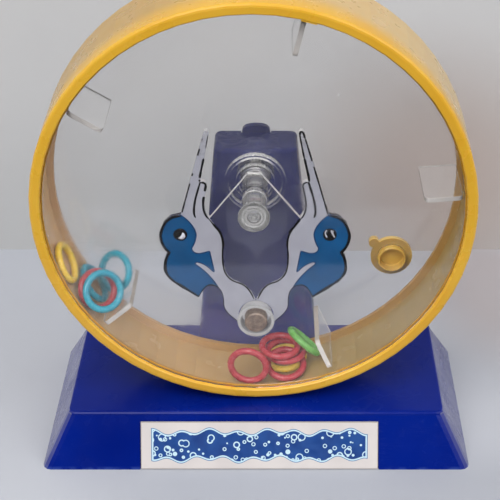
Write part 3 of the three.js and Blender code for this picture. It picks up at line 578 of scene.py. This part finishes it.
BIRD_POINTS = {
    "tipOuter": (0.521, 0.688), "tipOuterBend": (0.508, 0.768), "tipTop": (0.48, 0.768),
    "tipInnerBend": (0.448, 0.768), "tipInner": (0.452, 0.72), "beakInner": (0.543, 0.264),
    "notch": (0.552, 0.195), "hookBend": (0.495, 0.205), "hook": (0.487, 0.15), "chin": (0.515, 0),
    "jawBend": (0.54, -0.155), "jaw": (0.47, -0.235), "beakOuter": (0.677, 0.138),
    "beakRoot": (0.768, -0.193), "crown": (0.955, -0.195), "headSide": (1, -0.434),
    "headBack": (0.995, -0.58), "nape": (0.916, -0.647), "shoulder": (0.965, -0.71),
    "back": (0.969, -0.824), "hip": (0.975, -0.93), "rump": (0.87, -1.02), "tail": (0.616, -1.208),
    "tuck": (0.567, -1.118), "tuckBend": (0.5, -1), "thigh": (0.396, -1.093),
    "bellyBend": (0.345, -1.15), "belly": (0.353, -1.3), "flank": (0.35, -1.4), "foot": (0.2, -1.52),
    "fork": (0.015, -1.228), "forkBend": (0.07, -1.05), "breast": (0.18, -1.015),
    "breastBend": (0.28, -0.99), "side": (0.321, -0.877), "waist": (0.35, -0.76),
    "middle": (0.333, -0.58), "throat": (0.325, -0.42), "neckFront": (0.407, -0.331),
    "forehead": (0.625, -0.32), "cheek": (0.62, -0.43), "cheekBend": (0.63, -0.52),
    "neck": (0.671, -0.588), "collar": (0.67, -0.67), "bib": (0.569, -0.66), "wingTip": (0.484, -0.634),
    "leafRoot": (0.442, -0.881), "leafTop": (0.53, -0.77), "leafTip": (0.62, -0.757),
    "leafEnd": (0.655, -0.775), "leafLow": (0.63, -0.8), "leafFoot": (0.5, -0.9),
    "slitMiddle": (0.6, 0.03), "slitBend": (0.65, -0.17), "slitEnd": (0.612, -0.225),
    "beakMiddle": (0.5, 0.46),
}


def bird_path(words, steps=8):
    """Points in metres about the axle; a word in brackets bends the way to the next."""
    points, bend = [], None
    for word in words.split():
        if word.startswith("("):
            bend = Vector(BIRD_POINTS[word.strip("()")])
            continue
        end = Vector(BIRD_POINTS[word])
        if bend is None:
            points.append(end)
        else:
            start = points[-1]
            for i in range(1, steps + 1):
                t = i / steps
                points.append(start * (1 - t) ** 2 + bend * (2 * t * (1 - t)) + end * t ** 2)
            bend = None
    return [p * BIRD for p in points]


def evenly(points, gap):
    """The same way with a point about every gap."""
    spaced = [points[0]]
    for a, b in zip(points, points[1:]):
        count = max(1, round((b - a).length / gap))
        spaced += [a.lerp(b, i / count) for i in range(1, count + 1)]
    return spaced


def stroke(bm, points, side, width, front, inset, seed, gaps=0.0, uneven=0.35):
    """A pen line along the points, moved to the left of its way by inset and drawn as if by
    hand; it thins toward its ends, and gaps says how readily it breaks off."""
    points = evenly(points, 0.35 * MM)
    lefts = []
    for i in range(len(points)):
        ahead = points[min(i + 1, len(points) - 1)] - points[max(i - 1, 0)]
        if ahead.length < 1e-9:
            ahead = Vector((1, 0))
        ahead.normalize()
        lefts.append(Vector((-ahead.y, ahead.x)))
    travelled, runs, run = 0.0, [], []
    for i, point in enumerate(points):
        if i:
            travelled += (point - points[i - 1]).length
        spot = noise.noise(Vector((travelled * 260, seed * 7.3, 0.5)))
        half = width / 2 * (1 + uneven * noise.noise(Vector((travelled * 420, seed * 3.1, 9.0))))
        from_end = min(i, len(points) - 1 - i) / len(points)
        half *= min(1.0, 0.45 + 12 * from_end)
        if gaps and spot > 0.5 - gaps:
            if len(run) > 2:
                runs.append(run)
            run = []
            continue
        middle = point + lefts[i] * inset
        run.append((middle + lefts[i] * half, middle - lefts[i] * half))
    if len(run) > 2:
        runs.append(run)
    for run in runs:
        rows = []
        for a, b in run:
            row = [bm.verts.new((side * p.x, depth, AXLE + p.y))
                   for depth, p in ((front, a), (front, b), (front + INK_THICK, b), (front + INK_THICK, a))]
            rows.append(row)
        for near, far in zip(rows, rows[1:]):
            for j in range(4):
                bm.faces.new((near[j], near[(j + 1) % 4], far[(j + 1) % 4], far[j]))
        bm.faces.new(rows[0])
        bm.faces.new(rows[-1])


def patch(bm, points, side, front):
    """A flat printed shape."""
    near = [bm.verts.new((side * p[0], front, AXLE + p[1])) for p in points]
    far = [bm.verts.new((side * p[0], front + INK_THICK, AXLE + p[1])) for p in points]
    bm.faces.new(near)
    bm.faces.new(far)
    for i in range(len(points)):
        j = (i + 1) % len(points)
        bm.faces.new((near[i], near[j], far[j], far[i]))


def oval(centre, across, upright, count=28):
    angles = [math.tau * i / count for i in range(count)]
    return [centre + Vector((across * math.cos(a), upright * math.sin(a))) for a in angles]


black = outline_ink("black_ink", rgb(2, 2, 5), rgb(8, 8, 13))
navy = outline_ink("navy_ink", rgb(16, 20, 44), rgb(26, 32, 60))
seam_blue = outline_ink("seam_blue_ink", rgb(2, 50, 92), rgb(6, 60, 104))
eye_white = outline_ink("eye_white_ink", rgb(196, 198, 208), rgb(182, 184, 196))
INK = FILM_FRONT - 0.04 * MM
EYE = Vector((25.0 * MM, -13.65 * MM))

# One bird's eye has a white crescent, the other's three strokes, in millimetres about its middle
CRESCENT = [(-0.74, 0.81), (-1.3, 0.5), (-1.56, 0), (-1.67, -0.7), (-1.45, -1.3), (-0.9, -1.75),
            (-0.3, -1.85), (0.35, -1.65), (0.75, -1.25), (0.3, -1.0), (-0.2, -0.5), (-0.5, 0.1)]
EYE_STROKES = [((-1.05, 1.75), (-1.6, 0.5), (-0.9, -1.2)),
               ((0.45, 1.7), (0.85, 0.5), (1.7, -1.2)),
               ((1.1, 1.6), (0.85, 0.5))]


def about_eye(spots):
    return [EYE + Vector(spot) * MM for spot in spots]


for side, word in ((-1, "left"), (1, "right")):
    left = side < 0
    # The way, the width and the inset in millimetres, and the gaps
    lines = [
        ("beakRoot (crown) headSide (headBack) nape (shoulder) back (hip) rump tail", 0.95, -0.36, 0),
        ("tail tuck (tuckBend) thigh", 0.45, -0.15, 0),
        ("tipOuter beakOuter beakRoot", 0.5, -0.22, 0.3 if left else 0.1),
        ("notch slitMiddle (slitBend) slitEnd", 0.7, 0, 0.2 if left else 0),
        ("notch (hookBend) hook chin (jawBend) jaw", 0.75 if left else 0.5, 0.3, 0.1 if left else 0.35),
        ("jaw neckFront (throat) middle (waist) side (breastBend) breast (forkBend) fork", 0.55, 0.22, 0),
        ("jaw neckFront (throat) middle", 0.8, 0.1, 0.12),
        ("beakMiddle beakInner notch", 0.75, 0.3, 0.15 if left else 0),
    ]
    if left:
        lines.append(("tipInner beakMiddle", 0.35, 0.2, 0.5))
    else:
        lines += [("tipInner beakMiddle", 0.55, 0.25, 0),
                  ("tipInner (tipInnerBend) tipTop (tipOuterBend) tipOuter", 0.6, -0.3, 0)]
    bm = bmesh.new()
    for number, (words, width, inset, gaps) in enumerate(lines):
        stroke(bm, bird_path(words), side, width * MM, INK, inset * MM, side * 5 + number, gaps)
    outline = finish_piece(bm, word + "_bird_outline", black)
    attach(outline, "birds")

    bm = bmesh.new()
    way = bird_path("beakRoot (forehead) cheek (cheekBend) neck (collar) bib wingTip leafRoot "
                    "(leafTop) leafTip (leafEnd) leafLow (leafFoot) thigh")
    stroke(bm, way, side, 0.5 * MM, INK + 0.01 * MM, -0.12 * MM, side + 20, uneven=0)
    seam = finish_piece(bm, word + "_bird_seam", seam_blue)
    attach(seam, "birds")

    bm = bmesh.new()
    way = bird_path("thigh (bellyBend) belly (flank) foot")
    stroke(bm, way, side, 0.35 * MM, INK, -0.15 * MM, side + 8)
    hem = finish_piece(bm, word + "_bird_hem", navy)
    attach(hem, "birds")

    bm = bmesh.new()
    patch(bm, oval(EYE, 2.35 * MM, 2.4 * MM), side, INK - 0.01 * MM)
    eye = finish_piece(bm, word + "_bird_eye", black)
    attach(eye, "birds")

    bm = bmesh.new()
    if left:
        patch(bm, about_eye(CRESCENT), side, INK - 0.02 * MM)
    else:
        for seed, spots in enumerate(EYE_STROKES):
            stroke(bm, about_eye(spots), side, 0.45 * MM, INK - 0.02 * MM, 0, seed)
    glint = finish_piece(bm, word + "_bird_eye_white", eye_white)
    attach(glint, "birds")


# Table and wall

def oval_reach(g, first, second, middle, radii):
    """How far a point lies from the middle of an oval patch, 1 at the patch's edge."""
    offsets = [g.math("DIVIDE", g.minus(value, place), radius)
               for value, place, radius in zip((first, second), middle, radii)]
    return g.length(*offsets)


def stage_material(name, colours, blotch, mark, end=None, wall_painted_shade=False):
    """A plain pale surface. Nearer than its end, light that has bounced meets the dim room
    instead. The wall gets painted shade: the soft amber shade that the drum throws on it, and a darkening
    toward the floor; the table gets painted shade in front of the stand and the drum's amber shade beside it."""
    g = Graph(name)
    colour = g.mix(g.clouds(2.2, 3), *colours)
    colour = g.mix(g.span(g.noise(24, 4, rough=0.6), 0.5, 0.8, 0, blotch), colour, mark)
    x, y, z = g.parts()
    if wall_painted_shade:
        # Painted shade: the wall is darkened toward the floor.
        colour = g.mix(g.span(z, -0.01, 0.1, 0.4, 0), colour, rgb(170, 173, 174))
        # Painted shadow: a soft amber patch for the shade that the drum throws on the wall.
        away = oval_reach(g, x, z, (0.075, 0.035), (0.06, 0.065))
        colour = g.mix(g.span(away, 0.2, 1.3, 0.9, 0), colour, rgb(182, 167, 159))
    if end is not None:
        # Painted shadow: a soft amber patch for the shade that the drum throws on the table.
        away = oval_reach(g, x, y, (0.1, 0.08), (0.035, 0.06))
        colour = g.mix(g.span(away, 0.3, 1.2, 0.6, 0), colour, rgb(178, 166, 164))
        # Painted shade: the table is darkened in front of the stand, less so toward the left.
        shade = g.times(g.span(x, -0.08, -0.02), g.span(y, -0.015, -0.045))
        colour = g.mix(g.times(shade, 0.8), colour, rgb(162, 165, 174))
        light = g.make("LightPath")
        bounced = g.plus(light.outputs["Glossy Depth"], light.outputs["Diffuse Depth"])
        beyond = g.times(g.math("MINIMUM", bounced, 1), g.span(y, end - 3 * MM, end + 3 * MM, 1, 0))
        colour = g.mix(beyond, colour, rgb(52, 50, 50))
    rough = g.clouds(14, 3, 0.6, 0.75)
    shader = g.make("BsdfPrincipled")
    shader.inputs["Specular IOR Level"].default_value = 0.35
    g.put(shader.inputs["Base Color"], colour)
    g.put(shader.inputs["Roughness"], rough)
    g.put(shader.inputs["Normal"], g.bump(g.noise(300, 3), 0.05, 0.3 * MM))
    # Seen from its back it is clear, so that a view from behind looks through the wall
    clear = g.make("BsdfTransparent")
    mixed = g.make("MixShader")
    g.put(mixed.inputs[0], g.make("NewGeometry").outputs["Backfacing"])
    g.put(mixed.inputs[1], shader.outputs[0])
    g.put(mixed.inputs[2], clear.outputs[0])
    g.put(g.make("OutputMaterial").inputs["Surface"], mixed.outputs[0])
    return g.material


def sheet(name, corners, material):
    bm = bmesh.new()
    verts = [bm.verts.new(c) for c in corners]
    bm.faces.new(verts)
    mesh = bpy.data.meshes.new(name)
    bm.to_mesh(mesh)
    bm.free()
    mesh.materials.append(material)
    thing = bpy.data.objects.new(name, mesh)
    scene.collection.objects.link(thing)


WALL = 112 * MM
TABLE_END = -139 * MM
FAR = 2
table_material = stage_material("table_top", (rgb(180, 183, 191), rgb(190, 193, 201)), 0.12,
                                rgb(166, 168, 176), end=TABLE_END)
wall_material = stage_material("wall_paint", (rgb(204, 204, 204), rgb(211, 209, 208)), 0.15,
                               rgb(190, 189, 189), wall_painted_shade=True)
sheet("table", [(-FAR, -FAR, 0), (FAR, -FAR, 0), (FAR, WALL, 0), (-FAR, WALL, 0)], table_material)
sheet("wall", [(-FAR, WALL, 0), (FAR, WALL, 0), (FAR, WALL, FAR), (-FAR, WALL, FAR)], wall_material)


# Light and camera

def area(name, place, aim, size, power, colour):
    """A round lamp at a place, turned to where it aims."""
    lamp = bpy.data.lights.new(name, "AREA")
    lamp.shape = "DISK"
    lamp.size = size
    lamp.energy = power
    lamp.color = colour
    thing = bpy.data.objects.new(name, lamp)
    thing.location = place
    thing.rotation_euler = (Vector(aim) - Vector(place)).to_track_quat("-Z", "Y").to_euler()
    scene.collection.objects.link(thing)


area("key", (-0.4, -0.85, 1.05), (0, 0.02, 0.06), 1.0, 13, (1, 0.985, 0.96))
area("fill", (0.8, -0.7, 0.8), (0, 0, 0.08), 1.0, 6.5, (0.97, 0.98, 1))


def make_world():
    """An even pale room. For light that has bounced it is dim in front and below, where the room
    stands unlit behind the camera."""
    world = bpy.data.worlds.new("room")
    world.use_nodes = True
    tree = world.node_tree
    shine = tree.nodes["Background"]

    def node(kind, *values, **settings):
        made = tree.nodes.new("ShaderNode" + kind)
        for key, value in settings.items():
            setattr(made, key, value)
        for socket, value in zip(made.inputs, values):
            if isinstance(value, bpy.types.NodeSocket):
                tree.links.new(value, socket)
            elif value is not None:
                socket.default_value = value
        return made

    split = node("SeparateXYZ", tree.nodes.new("ShaderNodeTexCoord").outputs["Generated"])
    front = node("MapRange", split.outputs["Y"], -0.95, -0.15, 0.0, 1.0, interpolation_type="SMOOTHSTEP")
    below = node("MapRange", split.outputs["Z"], -0.2, 0.05, 0.1, 1.0, interpolation_type="SMOOTHSTEP")
    share = node("Math", front.outputs[0], below.outputs[0], operation="MULTIPLY")
    light = node("LightPath")
    bounced = node("Math", light.outputs["Glossy Depth"], light.outputs["Diffuse Depth"], operation="ADD")
    straight = node("Math", 1.0, bounced.outputs[0], operation="SUBTRACT")
    share = node("Math", share.outputs[0], straight.outputs[0], operation="MAXIMUM")
    mix = node("Mix", data_type="RGBA")
    tree.links.new(share.outputs[0], mix.inputs[0])
    mix.inputs[6].default_value = (0.06, 0.06, 0.065, 1)
    mix.inputs[7].default_value = (0.86, 0.87, 0.89, 1)
    tree.links.new(mix.outputs[2], shine.inputs["Color"])
    shine.inputs["Strength"].default_value = 0.85
    scene.world = world


make_world()

# The camera as it was solved from the photograph
lens = bpy.data.cameras.new("camera")
lens.lens = 93.25
lens.sensor_width = 36
lens.shift_x = -0.0672
lens.shift_y = -0.002
camera = bpy.data.objects.new("camera", lens)
camera.location = (0.00955, -0.3825, 0.2959)
camera.rotation_euler = (math.radians(59.114), 0, 0)
scene.collection.objects.link(camera)
scene.camera = camera
scene.view_settings.view_transform = "Standard"
